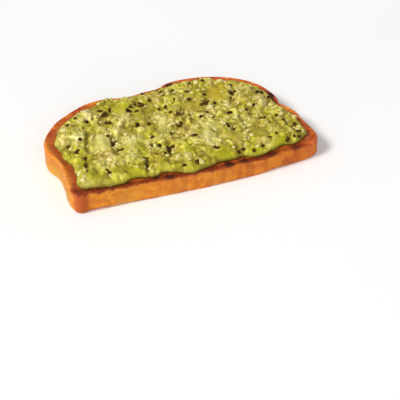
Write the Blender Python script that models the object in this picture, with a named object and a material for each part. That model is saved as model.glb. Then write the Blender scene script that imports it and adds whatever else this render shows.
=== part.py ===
"""Avocado toast: a slice of toasted pan bread with mashed avocado spread over its upper face.

The slice lies on its lower cut face. Its straight bottom crust is at -Y, and the two lobes of its risen
top crust are at +Y. The origin is the centre of the footprint, on the surface that the slice rests on.
Run with: blender --background --python part.py
"""

import math

import bmesh
import bpy
from mathutils import Vector, noise
from mathutils.geometry import delaunay_2d_cdt

MM = 0.001

# The slice. It was cut a little unevenly, so that its left end is thicker than its right end, and its
# back thicker than its front.
SLICE_WIDTH = 152.0 * MM
SLICE_DEPTH = 96.5 * MM
THICKNESS_LEFT = 12.8 * MM
THICKNESS_RIGHT = 10.2 * MM
BACK_THICKER_BY = 1.4 * MM
OUTLINE_STEPS = 120
CURVE_STEPS_PER_POINT = 24

# The crust: it rounds over at both cut faces, and stands as a low lip round the shrunken crumb.
BASE_ROUNDING = 2.0 * MM
RIM_ROUNDING = 2.2 * MM
ROUNDING_STEPS = 3
LIP_HEIGHT = 0.5 * MM
LIP_WIDTH = 4.2 * MM

# The spread. It stops short of the crust by an uneven gap, and is thinnest at its edge.
SPREAD_CLEARANCE = 0.3 * MM
SPREAD_EDGE_THICKNESS = 2.5 * MM
SPREAD_MIDDLE_THICKNESS = 4.6 * MM
SPREAD_BROW = 1.6 * MM
SPREAD_SHOULDER = 11.0 * MM
SPREAD_GRID = 4.2 * MM
GRID_MARGIN = 0.75
KNIFE_RIDGE_HEIGHT = 1.1 * MM
KNIFE_RIDGE_WIDTH = 10.0 * MM
KNIFE_RIDGE_LENGTH = 34.0 * MM
KNIFE_ANGLE = math.radians(70)
LUMP_HEIGHT = 0.8 * MM
LUMP_SIZE = 8.0 * MM
EDGE_RELIEF = 0.3

SMOOTH_ANGLE = math.radians(50)

# The spread's rounded edge, from its underside up: how far in from its outline it is, and its height above
# its foot as a share of the edge thickness.
SPREAD_EDGE_PROFILE = (
    (1.5 * MM, 0.0),
    (0.9 * MM, 0.0),
    (0.15 * MM, 0.2),
    (0.0, 0.55),
    (0.6 * MM, 0.85),
)

# The slice's outline from above, counter-clockwise from the middle of the bottom crust, in any unit: it is
# scaled to SLICE_WIDTH by SLICE_DEPTH. Each side has a waist where the dough rose out of its tin.
OUTLINE = (
    (0, -48.9),
    (30, -47.6),
    (55, -44.2),
    (71, -41.2),
    (77.2, -34),
    (76.0, -18),
    (74.8, -6),
    (70.7, 4),
    (70.4, 14),
    (65.9, 28.8),
    (54.2, 40.6),
    (37.6, 47.7),
    (21, 49.1),
    (11, 46.9),
    (4, 42.8),
    (-4, 41.9),
    (-12, 40.0),
    (-21, 40.1),
    (-31, 41.4),
    (-45.6, 37.3),
    (-63.6, 24.1),
    (-73.5, 9),
    (-75, -4),
    (-71, -16.5),
    (-71.4, -30),
    (-71.4, -42),
    (-64.8, -48.2),
    (-35, -48.7),
)

# How far the spread's edge is in from the outline, in mm, at equal steps along the same way round.
SPREAD_GAPS = (
    2.2, 3.4, 5.0, 5.2, 2.4, 3.4, 4.8, 5.2,
    6.6, 6.6, 6.0, 5.0, 6.0, 5.4, 4.8, 4.4,
    5.2, 5.8, 6.6, 7.0, 6.2, 6.0, 6.0, 5.8,
    4.4, 4.8, 4.4, 5.0, 6.0, 7.2, 6.4, 6.4,
    6.4, 6.0, 6.2, 6.4, 6.4, 6.0, 6.6, 6.2,
    5.0, 3.8, 2.8, 1.8, 4.8, 3.2, 5.2, 3.0,
)  # fmt: skip


def catmull_rom(a, b, c, d, t):
    """The point a share t of the way from b to c, on the smooth curve through a, b, c and d."""
    return 0.5 * (2 * b + (c - a) * t + (2 * a - 5 * b + 4 * c - d) * t**2 + (3 * b - a - 3 * c + d) * t**3)


def closed_curve(points, steps):
    """The smooth closed curve through these points, as this many points evenly spaced along it."""
    fine = []
    count = len(points)
    for i in range(count):
        four = [points[(i + k) % count] for k in (-1, 0, 1, 2)]
        fine += [catmull_rom(*four, j / CURVE_STEPS_PER_POINT) for j in range(CURVE_STEPS_PER_POINT)]
    fine.append(fine[0])
    lengths = [0.0]
    for p, q in zip(fine, fine[1:]):
        lengths.append(lengths[-1] + (q - p).length)
    evenly, k = [], 0
    for i in range(steps):
        target = lengths[-1] * i / steps
        while lengths[k + 1] < target:
            k += 1
        share = (target - lengths[k]) / (lengths[k + 1] - lengths[k])
        evenly.append(fine[k].lerp(fine[k + 1], share))
    return evenly


def slice_outline():
    """The slice's widest outline, scaled to its width and depth and centred on the origin."""
    curve = closed_curve([Vector(p) for p in OUTLINE], OUTLINE_STEPS)
    low = Vector((min(p.x for p in curve), min(p.y for p in curve)))
    high = Vector((max(p.x for p in curve), max(p.y for p in curve)))
    middle, size = (low + high) / 2, high - low
    scale = Vector((SLICE_WIDTH / size.x, SLICE_DEPTH / size.y))
    return [(p - middle) * scale for p in curve]


def inset(outline, distances):
    """The outline moved inwards, by one distance for each of its points."""
    moved = []
    for i, point in enumerate(outline):
        along = outline[(i + 1) % len(outline)] - outline[i - 1]
        inwards = Vector((-along.y, along.x)).normalized()
        moved.append(point + inwards * distances[i])
    return moved


def crumb_height(point):
    """The height of the upper cut face, a plane that falls towards the slice's right end and its front."""
    share = 0.5 + point.x / SLICE_WIDTH
    middle = THICKNESS_LEFT + (THICKNESS_RIGHT - THICKNESS_LEFT) * share
    return middle + BACK_THICKER_BY * point.y / SLICE_DEPTH


def lip(distance):
    """How far the crust stands above the crumb's plane, at this distance in from the outline."""
    share = min(1.0, distance / LIP_WIDTH)
    return LIP_HEIGHT * 0.5 * (1 + math.cos(math.pi * share))


def quarter_round(radius):
    """Points down a rounded edge, as how far each is in from the side and down from the face."""
    angles = [math.radians(90) * i / ROUNDING_STEPS for i in range(ROUNDING_STEPS + 1)]
    return [(radius * (1 - math.sin(a)), radius * (1 - math.cos(a))) for a in angles]


def bread_rings(outline):
    """The slice's side as closed rings, from its foot up and over the lip to the edge of the flat crumb."""
    foot = [(distance, 0, up) for distance, up in quarter_round(BASE_ROUNDING)]
    side = [(0.0, 0.5, 0.0)]
    rim = [(distance, 1, lip(distance) - down) for distance, down in reversed(quarter_round(RIM_ROUNDING))]
    mid_lip = 0.5 * (RIM_ROUNDING + LIP_WIDTH)
    crumb_edge = [(mid_lip, 1, lip(mid_lip)), (LIP_WIDTH, 1, 0.0)]
    rings = []
    for distance, share, above in foot + side + rim + crumb_edge:
        ring = inset(outline, [distance] * len(outline))
        rings.append([Vector((p.x, p.y, crumb_height(p) * share + above)) for p in ring])
    return rings


def spread_gaps():
    """The gap between the outline and the spread at each of the outline's points, in metres."""
    samples = [Vector((gap, 0)) for gap in SPREAD_GAPS]
    gaps = []
    for i in range(OUTLINE_STEPS):
        at = i / OUTLINE_STEPS * len(samples)
        four = [samples[(int(at) + k) % len(samples)] for k in (-1, 0, 1, 2)]
        gaps.append(catmull_rom(*four, at - int(at)).x * MM)
    return gaps


def spread_relief(point):
    """The uneven top of the spread: long ridges left by the knife, and lumps of half-mashed avocado."""
    along = point.x * math.cos(KNIFE_ANGLE) + point.y * math.sin(KNIFE_ANGLE)
    across = point.y * math.cos(KNIFE_ANGLE) - point.x * math.sin(KNIFE_ANGLE)
    ridge = noise.noise(Vector((along / KNIFE_RIDGE_LENGTH, across / KNIFE_RIDGE_WIDTH, 0.0)))
    lump = noise.noise(Vector((point.x / LUMP_SIZE, point.y / LUMP_SIZE, 4.0)))
    return KNIFE_RIDGE_HEIGHT * ridge + LUMP_HEIGHT * lump


def spread_top(point, distance):
    """The height of the spread's top, at this distance in from the spread's edge."""
    share = min(1.0, distance / SPREAD_SHOULDER)
    rise = math.sin(0.5 * math.pi * share)
    thickness = SPREAD_EDGE_THICKNESS + (SPREAD_MIDDLE_THICKNESS - SPREAD_EDGE_THICKNESS) * rise
    relief = spread_relief(point) * (EDGE_RELIEF + (1 - EDGE_RELIEF) * rise)
    return crumb_height(point) + thickness + relief


def distance_to(outline, point):
    """How far a point is from the outline's nearest corner, which is close enough to its nearest edge."""
    return min((corner - point).length for corner in outline)


def encloses(outline, point):
    """True if the closed outline goes round the point."""
    inside = False
    for a, b in zip(outline, outline[1:] + outline[:1]):
        if (a.y > point.y) != (b.y > point.y):
            inside ^= point.x < a.x + (point.y - a.y) / (b.y - a.y) * (b.x - a.x)
    return inside


def filled(ring, height, grid):
    """Points and triangles that fill a ring, with a triangular grid of this spacing inside it."""
    flat = [p.to_2d() for p in ring]
    low = Vector((min(p.x for p in flat), min(p.y for p in flat)))
    high = Vector((max(p.x for p in flat), max(p.y for p in flat)))
    row_step = grid * math.sqrt(3) / 2
    inner = []
    for row in range(int((high.y - low.y) / row_step) + 1):
        for column in range(int((high.x - low.x) / grid) + 1):
            point = low + Vector(((column + 0.5 * (row % 2)) * grid, row * row_step))
            if encloses(flat, point) and distance_to(flat, point) > GRID_MARGIN * grid:
                inner.append(point)
    edges = [(i, (i + 1) % len(flat)) for i in range(len(flat))]
    points, _, faces, _, _, _ = delaunay_2d_cdt(flat + inner, edges, [], 1, 1e-7)
    return [Vector((p.x, p.y, height(p))) for p in points], faces


def solid_from_rings(name, rings, top=None):
    """A closed object: quads between the rings, a flat face under the first, and the last one filled."""
    mesh = bmesh.new()
    loops = [[mesh.verts.new(p) for p in ring] for ring in rings]
    count = len(rings[0])
    for lower, upper in zip(loops, loops[1:]):
        for i in range(count):
            j = (i + 1) % count
            mesh.faces.new((lower[i], lower[j], upper[j], upper[i]))
    mesh.faces.new(reversed(loops[0]))
    if top is None:
        mesh.faces.new(loops[-1])
    else:
        points, faces = top
        corners = loops[-1] + [mesh.verts.new(p) for p in points[count:]]
        for face in faces:
            mesh.faces.new([corners[i] for i in face])
    bmesh.ops.recalc_face_normals(mesh, faces=mesh.faces)
    data = bpy.data.meshes.new(name)
    mesh.to_mesh(data)
    mesh.free()
    data.shade_smooth()
    data.set_sharp_from_angle(angle=SMOOTH_ANGLE)
    made = bpy.data.objects.new(name, data)
    bpy.context.scene.collection.objects.link(made)
    return made


def painted(made, name, colour, roughness):
    """Gives an object its own plain material."""
    material = bpy.data.materials.new(name)
    material.use_nodes = True
    shader = material.node_tree.nodes["Principled BSDF"]
    shader.inputs["Base Color"].default_value = (*colour, 1.0)
    shader.inputs["Roughness"].default_value = roughness
    shader.inputs["Metallic"].default_value = 0.0
    made.data.materials.append(material)
    return made


def build_bread(outline):
    made = solid_from_rings("bread_slice", bread_rings(outline))
    return painted(made, "toasted_bread", (0.60, 0.24, 0.05), 0.75)


def build_spread(outline):
    gaps = spread_gaps()
    edge = inset(outline, gaps)
    rings = []
    for further, share in SPREAD_EDGE_PROFILE:
        ring = []
        for p, gap in zip(inset(edge, [further] * len(edge)), gaps):
            foot = crumb_height(p) + lip(gap + further) + SPREAD_CLEARANCE
            ring.append(Vector((p.x, p.y, foot + share * SPREAD_EDGE_THICKNESS)))
        rings.append(ring)
    brow = inset(edge, [SPREAD_BROW] * len(edge))
    rings.append([Vector((p.x, p.y, spread_top(p, SPREAD_BROW))) for p in brow])
    top = filled(rings[-1], lambda p: spread_top(p, distance_to(edge, p)), SPREAD_GRID)
    made = solid_from_rings("avocado_spread", rings, top)
    return painted(made, "mashed_avocado", (0.42, 0.40, 0.06), 0.45)


def main():
    for leftover in list(bpy.data.objects):
        bpy.data.objects.remove(leftover)
    outline = slice_outline()
    build_bread(outline)
    build_spread(outline)


main()
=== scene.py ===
"""The looks of the avocado toast: a fine toast and spread in place of the two CAD solids, the seasoning
scattered on the spread, and a plain pale studio. Lengths are in metres, with MM for millimetres.
"""

import math
import random

import bmesh
import bpy
import numpy as np
from mathutils import Matrix, Vector, noise
from mathutils.bvhtree import BVHTree
from mathutils.geometry import delaunay_2d_cdt
from mathutils.kdtree import KDTree


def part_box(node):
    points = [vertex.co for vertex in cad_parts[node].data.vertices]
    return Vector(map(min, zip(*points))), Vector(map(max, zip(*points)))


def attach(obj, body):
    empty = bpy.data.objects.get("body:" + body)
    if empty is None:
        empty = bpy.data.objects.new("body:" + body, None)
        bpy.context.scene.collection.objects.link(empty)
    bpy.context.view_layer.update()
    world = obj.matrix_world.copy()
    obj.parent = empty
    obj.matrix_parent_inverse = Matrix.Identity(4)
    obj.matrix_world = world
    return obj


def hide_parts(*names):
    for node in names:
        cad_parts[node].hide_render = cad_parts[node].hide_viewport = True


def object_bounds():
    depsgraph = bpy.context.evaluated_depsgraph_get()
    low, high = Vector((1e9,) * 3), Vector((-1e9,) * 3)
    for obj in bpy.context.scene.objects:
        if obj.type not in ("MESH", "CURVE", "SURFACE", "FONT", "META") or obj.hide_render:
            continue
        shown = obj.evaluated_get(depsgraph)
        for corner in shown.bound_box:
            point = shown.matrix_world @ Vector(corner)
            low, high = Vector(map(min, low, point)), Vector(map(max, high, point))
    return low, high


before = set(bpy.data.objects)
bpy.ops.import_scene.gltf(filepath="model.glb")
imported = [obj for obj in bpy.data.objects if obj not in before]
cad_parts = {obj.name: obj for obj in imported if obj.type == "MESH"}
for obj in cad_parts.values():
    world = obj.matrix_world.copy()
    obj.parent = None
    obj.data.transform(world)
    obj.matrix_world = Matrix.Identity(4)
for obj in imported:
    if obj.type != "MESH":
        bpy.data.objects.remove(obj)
CAD_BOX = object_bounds()

MM = 0.001
UP = Vector((0, 0, 1))
DOWN = -UP
OVERHEAD = 100 * MM
KNIFE_ANGLE = math.radians(70)
KNIFE = Vector((math.cos(KNIFE_ANGLE), math.sin(KNIFE_ANGLE)))

# The camera looks down at the slice's front left.
CAMERA_AZIMUTH = math.radians(-19.6)
CAMERA_ELEVATION = math.radians(36.66)
CAMERA_DISTANCE = 650 * MM
CAMERA_LENS = 100.2
TARGET_RIGHT = 15.2 * MM
TARGET_UP = -33.3 * MM

# The outlines are read off the frame in this many directions, the bread's at a share of its height and
# the spread's at a height over the crumb.
SCAN_RAYS = 1440
SCAN_SMOOTHING = 3
FAR_OUT = 200 * MM
BREAD_SCAN_SHARE = 0.4
SPREAD_SCAN_HEIGHT = 1.4 * MM

# The toast.
TOAST_STEP = 0.5 * MM
FOOT_ROUNDING = 1.3 * MM
LEAST_FOOT_ROUNDING = 0.5 * MM
FOOT_UNEVENNESS = 0.7 * MM
RIM_ROUNDING = 1.5 * MM
FOOT_STEPS = 5
SIDE_STEPS = 18
RIM_STEPS = 7
RIM_STRIP = 10.0 * MM
RIM_GRID = 0.55 * MM
HIDDEN_GRID = 3.0 * MM
UNDER_GRID = 0.95 * MM
LIP_HEIGHT = 0.6 * MM
LIP_WIDTH = 4.2 * MM
CRUST_SWELL = 0.40 * MM
CRUST_SWELL_SIZE = 16 * MM
CRUST_WRINKLE = 0.18 * MM
CRUST_WRINKLE_SIZE = 2.6 * MM
CRUMB_SAG = 0.25 * MM
CRUMB_SAG_SIZE = 9 * MM
CRUMB_ROUGHNESS = 0.11 * MM
PORE_DEPTH = 0.75 * MM
PORE_SPACING = 2.6 * MM
SINGE_REACH = 5.0 * MM

# Upright creases (and, with a depth below 0, bulges) in the crust: place, reach and depth, all in mm.
CREASES = (
    (-63.4, -46.5, 1.7, 0.75), (-72, -38.5, 2, 0.45), (-68.2, -47.2, 4.5, -2.0), (69.5, 5, 4, 1.2),
    (-24, -47, 2, 0.3), (-9, -48.5, 2.4, 0.3), (44, -46.5, 2.2, 0.35), (66, -43, 2.6, 0.35),
    (73.5, -5.5, 9, -0.6), (-75, -11.5, 3, 0.35),
)
# Where the foot of the crust is rounded off more: place, reach and extra rounding, in mm.
WORN_FEET = (
    (-57, -47.5, 10, 1.9), (-44, -48.5, 8, 0.9), (-30, -47.5, 9, 0.3), (0, -48.5, 12, -0.5),
    (30, -47.5, 12, -0.4), (49, -45.5, 9, 1.2), (-68, -47, 5, -1.2), (-73, -30, 6, 1.8),
)
# Where the crust baked darker (below 0: stayed paler): place and reach in mm, and strength.
# The two paler places on the right rim, at x 69 and 72, are painted light that lifts the spread's shade
# there.
BAKED_AND_LIT = (
    (-67.5, -47, 6.5, 1.4), (-42, -48.5, 13, -0.5), (74, -33.5, 14, 0.7), (60, -43.5, 14, 0.35),
    (-62, 24.5, 12, 0.55), (10, 44.5, 8, 0.9), (66, 12, 9, 0.9), (-75, -0.5, 12, -0.9),
    (-75, -15.5, 12, -1.6), (-72, -31.5, 12, -1.6), (-70, -39.5, 6, -1.2), (-36, 37.5, 7, -1.0),
    (-22, 35.5, 9, -1.0), (-7, 36.5, 8, -1.0), (54, 29.5, 7, -0.6), (69, -3.5, 8, -1.0),
    (72, -14.5, 8, -0.9), (12, -48.5, 9, -0.6), (-14, -48.5, 10, -0.35),
)
# Burnt spots on the rim: place, reach and strength.
BURNT = (
    (-25, -44.5, 5.5, 0.8), (-18, -46.5, 5.5, 0.9), (-40, -45.5, 4, 0.6), (17, -45.5, 5.5, 1.0),
    (26, -44.5, 5.5, 0.9), (43, -43.5, 6, 0.8), (59, -41.5, 6, 0.7), (6, -48.5, 4, 0.6),
    (12, 43.5, 6, 0.9), (65, 14, 7, 1.0), (-67, -37.5, 4, 0.5),
)

# The spread. MAP_PITCH is the pitch of the square grid on which its relief is worked out.
SPREAD_STEP = 0.45 * MM
SPREAD_GRID = 0.45 * MM
MAP_PITCH = 0.4 * MM
SPREAD_SINK = 0.25 * MM
LEAST_SPREAD = 1.4 * MM
LEAST_CAD_SPREAD = 1.2 * MM
CAD_TOP_BLUR = 3.5 * MM
EDGE_SWELL = 0.5 * MM
EDGE_SWELL_REACH = 6.0 * MM
EDGE_WAVE = 1.5 * MM
EDGE_RIPPLE = 0.3 * MM
# Where the spread's edge runs further out (below 0: further in): place, reach and distance, in mm.
LOBES = (
    (-67.5, -16.5, 9, 2.2), (-59, -45.5, 8, 0.9), (-7, -47.5, 8, 2.0), (60, -40, 8, 1.2),
    (14, 41.5, 8, -1.6), (30, 39.5, 9, -2.2), (44, 35, 9, -3.0), (55, 27.5, 8, -1.6),
    (-45, 31.5, 9, -1.6),
)
# The spread's edge from its foot up: how far in it is, and its height as a share of the spread's.
EDGE_PROFILE = (
    (1.0 * MM, 0.0), (0.4 * MM, 0.1), (0.1 * MM, 0.22), (0, 0.36), (0.15 * MM, 0.52),
    (0.5 * MM, 0.68), (1.05 * MM, 0.82), (1.75 * MM, 0.93),
)

# Half-mashed chunks, from large to small: how many, the least and greatest reach and height in mm, how
# far they turn from the knife's direction in degrees, their least width as a share of their length, and
# their least tone.
CHUNKS = (
    (150, 3.6, 6.8, 1, 2.3, 22, 0.36, 0.0),
    (600, 1.8, 3.5, 0.9, 1.9, 35, 0.42, 0.0),
    (1600, 1, 1.9, 0.35, 0.75, 90, 0.65, 0.25),
)
CHUNK_ROUNDING = 0.42
CHUNK_SUNK_SHARE = 0.45
FLAT_REACH = 4.0 * MM
MOUND_SIZE = 11 * MM
MOUND_HEIGHT = 1.7 * MM
SMALL_MOUND_SIZE = 5.5 * MM
SMALL_MOUND_HEIGHT = 1.0 * MM
SEED_DENT = 0.7 * MM
HOLLOW_DEPTH = 0.5 * MM
RIDGE_HEIGHT = 0.55 * MM
# Where the knife left the mash smooth: place and reach in mm.
SMEARS = (
    (-46, -11, 9), (-33, -19.5, 8), (-8.5, -8.5, 7), (-26.5, 19.5, 8), (-14, 10, 9), (16, 10.5, 10),
    (28, -25.5, 9), (42, -27.5, 8), (33, 17.5, 10), (16, -41.5, 7), (53.5, -39.5, 9), (12, -21.5, 7),
    (-35, -43.5, 7), (-60, -26.5, 5), (-58, -39.5, 6),
)
# Long strokes that the knife left: both ends and the width in mm, and the height (below 0: a furrow).
STROKES = (
    (-42.5, 5.5, -48, -19.5, 9, 0.9), (-56, 6.5, -61, -13.5, 7, 0.8), (-24.5, 13.5, -37, -7.5, 7, 1.0),
    (-28.5, -11.5, -35, -35.5, 9, 0.9), (18.5, -4.5, 10, -33.5, 10, 0.8),
    (-44, 24.5, -50, 12.5, 6, 0.6), (-3, -31.5, -6, -41.5, 6, 0.5), (38, 0.5, 34, -17.5, 6, 0.6),
    (57, 8.5, 54, -3.5, 6, 0.5), (-6, 4.5, -11, -13.5, 7, 0.5), (-50.5, 5.5, -55, -17.5, 5.5, -1.9),
    (-38, -2.5, -41, -25.5, 5.5, -2.0), (-39, 18.5, -42, 4.5, 5, -0.9), (8.5, 10.5, 4, -13.5, 5, -1.3),
    (-10, -19.5, -13, -35.5, 4.5, -1.5), (26, -31.5, 24, -44.5, 5, -1.2), (44, 22.5, 40, 8.5, 5, -1.3),
    (25, 16.5, 21, 3.5, 5, -1.0), (47, -1.5, 43, -13.5, 5, -0.9), (63, -23.5, 64, -39.5, 6, -1.0),
    (-58, -23.5, -60, -35.5, 4, -1.0), (-26, -31.5, -30, -45.5, 4.5, -1.2),
    (-9, 22.5, -15, 10.5, 5, -1.2), (59, 16.5, 61, 0.5, 5, -1.0), (57, -11.5, 56, -29.5, 6, -0.7),
    (-67, -1.5, -69, -11.5, 3.5, -0.8),
)
# Where the mash is a fresher green, a pale green, a pale tan, a dull olive and yellow: place and reach in
# mm, and strength.
LIME = (
    (-35, -44, 10, 1.2), (-62, -22.5, 7, 0.9), (-59, -37.5, 9, 0.8), (17, -41.5, 8, 1.3),
    (53, -38.5, 9, 1.2), (-28, 24.5, 8, 0.9), (-12, -44, 9, 0.5), (1, -30.5, 7, 1.1),
    (-25.5, -22, 6, 0.6), (5, 19.5, 7, 0.7), (-56, 16.5, 6, 0.5), (33, -42, 8, 1.0), (-5, 12.5, 6, 0.5),
    (-46, -43.5, 7, 0.6),
)
MINT = (
    (-46, -10.5, 9, 1.0), (-57.5, -2.5, 8, 0.8), (-30.5, -14.5, 8, 1.0), (-34, -29.5, 7, 0.7),
    (18, -12.5, 7, 1.0), (13, -22.5, 8, 1.0), (37, -13.5, 6, 0.8), (-8, -8.5, 7, 0.7),
    (54, -29.5, 6, 0.4), (-55, -32.5, 7, 0.5),
)
CREAM = (
    (-26, 9.5, 6, 0.9), (-33, -0.5, 6, 0.9), (-9, 3.5, 7, 0.7), (24, 3.5, 7, 0.9), (57, 3.5, 8, 0.9),
    (5, -13.5, 4, 1.0), (-46, -25.5, 7, 1.0), (-67, -2.5, 7, 0.9), (-66, 6.5, 6, 0.7),
    (-45, 20.5, 6, 0.8), (-5, -37.5, 5, 0.7), (-62, -43.5, 5, 0.9), (52, 19.5, 8, 0.6),
    (-4, 28.5, 7, 0.6), (36, 6.5, 6, 0.6), (44, -9.5, 6, 0.5),
)
OLIVE = (
    (-14, 12.5, 9, 0.8), (-22, 6.5, 7, 0.6), (12, 8.5, 9, 0.7), (22, 12.5, 8, 0.8),
    (42, -23.5, 11, 0.9), (28, 20.5, 7, 0.8), (52, 10.5, 8, 0.6), (55, -21.5, 9, 0.9),
    (-42, -39.5, 8, 0.6), (-20, -37.5, 8, 0.6), (-52, 18.5, 6, 0.5), (8, 30.5, 8, 0.4),
    (28, 35, 8, 0.6), (48, 27, 7, 0.6), (-40, 27, 8, 0.5), (-10, -44, 9, 1.0), (6, -37.5, 7, 0.5),
)
GOLD = (
    (34, 19.5, 8, 1.0), (38, 28.5, 6, 0.9), (-5, 30.5, 7, 0.7), (-22, 29.5, 5, 0.5),
    (-2, -41.5, 4, 0.5),
)
# Where dark seeds lie: place in mm, and how many.
DARK_SEEDS = (
    (-59.5, 13, 1), (-48.5, 14, 1), (-38.5, 22, 2), (-36.5, 15.5, 4), (-37.5, 8, 2), (-22.5, 15.5, 3),
    (-13.5, 20, 4), (-6.5, 24, 1), (-21.5, 0, 2), (-14.5, 0, 1), (-66, -7.5, 1), (-60.5, -15, 1),
    (-59.5, -27, 2), (-37.5, -20, 2), (-38.5, -11, 2), (-49.5, -39.5, 2), (-28.5, -37, 1),
    (-19.5, -21, 1), (-16.5, -22.5, 1), (-16.5, -33, 1), (-10.5, -26, 3), (-3.5, -18, 1), (1.5, -6, 3),
    (2.5, 3, 1), (-0.5, 11, 1), (5.5, -21, 2), (13.5, -33, 1), (15.5, 17, 1), (15.5, -3, 1),
    (21.5, 2, 1), (23.5, 12.5, 3), (29.5, 11, 1), (43, 18, 3), (40.5, 14, 1), (45.5, 26, 1),
    (57, 13, 3), (27.5, -15, 2), (30.5, -19, 1), (33.5, -4, 2), (44.5, -2, 1), (48.5, -14, 2),
    (45.5, -33, 1), (51.5, -30, 1), (25.5, -40, 2), (33, -42.5, 1), (39.5, -40, 1), (-1.5, -43.5, 2),
    (-8.5, -43, 1), (57, -39, 2), (61.5, -35.5, 2), (65.5, -32, 2), (65, -25.5, 1), (62, 6, 2),
    (17.5, 28, 2), (9.5, 31, 1), (0.5, 27, 1),
)

TINTS = {"lime": LIME, "mint": MINT, "cream": CREAM, "olive": OLIVE, "gold": GOLD}

# The seasoning: how many of each, and how large in mm. The sesame seeds' length, width and thickness, the
# garlic's least, greatest and usual size, and the salt's least and greatest.
MORE_BLACK_SESAME = 25
WHITE_SESAME_COUNT = 125
POPPY_COUNT = 50
GARLIC_COUNT = 135
SALT_COUNT = 16
BLACK_SESAME_SIZE = (2.7, 2.1, 1.5)
WHITE_SESAME_SIZE = (2.9, 1.9, 1.0)
POPPY_SIZE = 1.05
GARLIC_SIZES = (1.7, 3.8, 2.3)
SALT_SIZES = (0.7, 1.3)
SESAME_RINGS = 6
SESAME_SIDES = 9
# How far it stays from the spread's edge, how it leans in degrees, how far a cluster reaches at first and
# how fast it grows when it's full, and the least upward part of the surface's normal under it.
SEASONING_MARGIN = 1.0 * MM
SEASONING_TILT = 18
CLUSTER_REACH = 0.7 * MM
CLUSTER_GROWTH = 1.1
LEAST_UPWARD = 0.45
# The cells in which the taken places are looked up.
TAKEN_CELL = 4 * MM

# The lights: azimuth and elevation in degrees, distance and size in metres, power in watts, and colour.
LIGHTS = {
    "key": (-82, 43, 9, 2.8, 630, (1, 0.985, 0.96)),
    "front": (-8, 28, 10.5, 7.2, 316, (1, 1, 1.0)),
}
WORLD_STRENGTH = 0.4
FLOOR_SIZE = 6.0


# ---- reading the frame


def tree_of(obj):
    """A search tree of a mesh object's faces."""
    corners = [v.co.copy() for v in obj.data.vertices]
    return BVHTree.FromPolygons(corners, [tuple(p.vertices) for p in obj.data.polygons])


def evenly_spaced(points, step):
    """The closed line through these points, as points about one step apart along it."""
    lengths = [0.0]
    closed = points + [points[0]]
    for a, b in zip(closed, closed[1:]):
        lengths.append(lengths[-1] + (b - a).length)
    count = round(lengths[-1] / step)
    found, k = [], 0
    for i in range(count):
        target = lengths[-1] * i / count
        while lengths[k + 1] < target:
            k += 1
        share = (target - lengths[k]) / (lengths[k + 1] - lengths[k])
        found.append(closed[k].lerp(closed[k + 1], share))
    return found


def smoothed(points, reach):
    """A closed line with each point moved to the mean of its neighbours within this reach."""
    count, window = len(points), 2 * reach + 1
    near = [[points[(i + k) % count] for k in range(-reach, reach + 1)] for i in range(count)]
    return [sum(neighbours, Vector((0, 0))) / window for neighbours in near]


def scanned_outline(tree, height, step):
    """A node's outline from above: where rays from its middle leave it, at a height given by a function."""
    hits = []
    for i in range(SCAN_RAYS):
        angle = 2 * math.pi * i / SCAN_RAYS
        far = Vector((math.cos(angle), math.sin(angle))) * FAR_OUT
        start = Vector((*far, height(far)))
        end = Vector((0, 0, height(Vector((0, 0)))))
        hit = tree.ray_cast(start, (end - start).normalized())[0]
        hits.append(hit.to_2d())
    return smoothed(evenly_spaced(hits, step), SCAN_SMOOTHING)


def crumb_plane(tree):
    """The height of the bread's upper cut face at a point, as a function: a plane through three points."""
    low, high = CAD_BOX
    at = [Vector((low.x * 0.6, 0)), Vector((high.x * 0.6, 0)), Vector((0, high.y * 0.5))]
    a, b, c = [tree.ray_cast(Vector((*p, high.z * 2)), DOWN)[0] for p in at]
    n = (b - a).cross(c - a).normalized()
    return lambda p: a.z - ((p.x - a.x) * n.x + (p.y - a.y) * n.y) / n.z


# ---- building meshes


def distance_to(outline):
    """How far a point is from a closed outline, as a function."""
    tree = KDTree(len(outline))
    for i, p in enumerate(outline):
        tree.insert((p.x, p.y, 0), i)
    tree.balance()
    return lambda p: tree.find((p.x, p.y, 0))[2]


def box_of(outline):
    """The lowest and the highest x and y of an outline."""
    low = Vector((min(p.x for p in outline), min(p.y for p in outline)))
    return low, Vector((max(p.x for p in outline), max(p.y for p in outline)))


def outwards(outline, i):
    """The direction out of a counter-clockwise outline at one of its points."""
    along = outline[(i + 1) % len(outline)] - outline[i - 1]
    return Vector((along.y, -along.x)).normalized()


def inset(outline, distance):
    """The outline moved inwards by a distance, or by one distance for each of its points."""
    count = len(outline)
    each = distance if isinstance(distance, list) else [distance] * count
    return [p - outwards(outline, i) * each[i] for i, p in enumerate(outline)]


def crossings(outline, y):
    """Where a line along X at this y crosses the closed outline, as x in rising order."""
    sides = [(a, b) for a, b in zip(outline, outline[1:] + outline[:1]) if (a.y > y) != (b.y > y)]
    return sorted(a.x + (y - a.y) / (b.y - a.y) * (b.x - a.x) for a, b in sides)


def encloses(outline, p):
    """True if the closed outline goes round the point."""
    return sum(p.x < x for x in crossings(outline, p.y)) % 2 == 1


def grid_inside(outline, spacing, keep):
    """Points of a triangular grid inside the outline, those for which keep(point) is true."""
    low, high = box_of(outline)
    row_step = spacing * math.sqrt(3) / 2
    found = []
    for row in range(int((high.y - low.y) / row_step) + 1):
        y, shift = low.y + row * row_step, 0.5 * (row % 2)
        ends = crossings(outline, y)
        for start, end in zip(ends[::2], ends[1::2]):
            columns = range(math.ceil(start / spacing - shift), math.floor(end / spacing - shift) + 1)
            found += [Vector(((column + shift) * spacing, y)) for column in columns]
    return [p for p in found if keep(p)]


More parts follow.
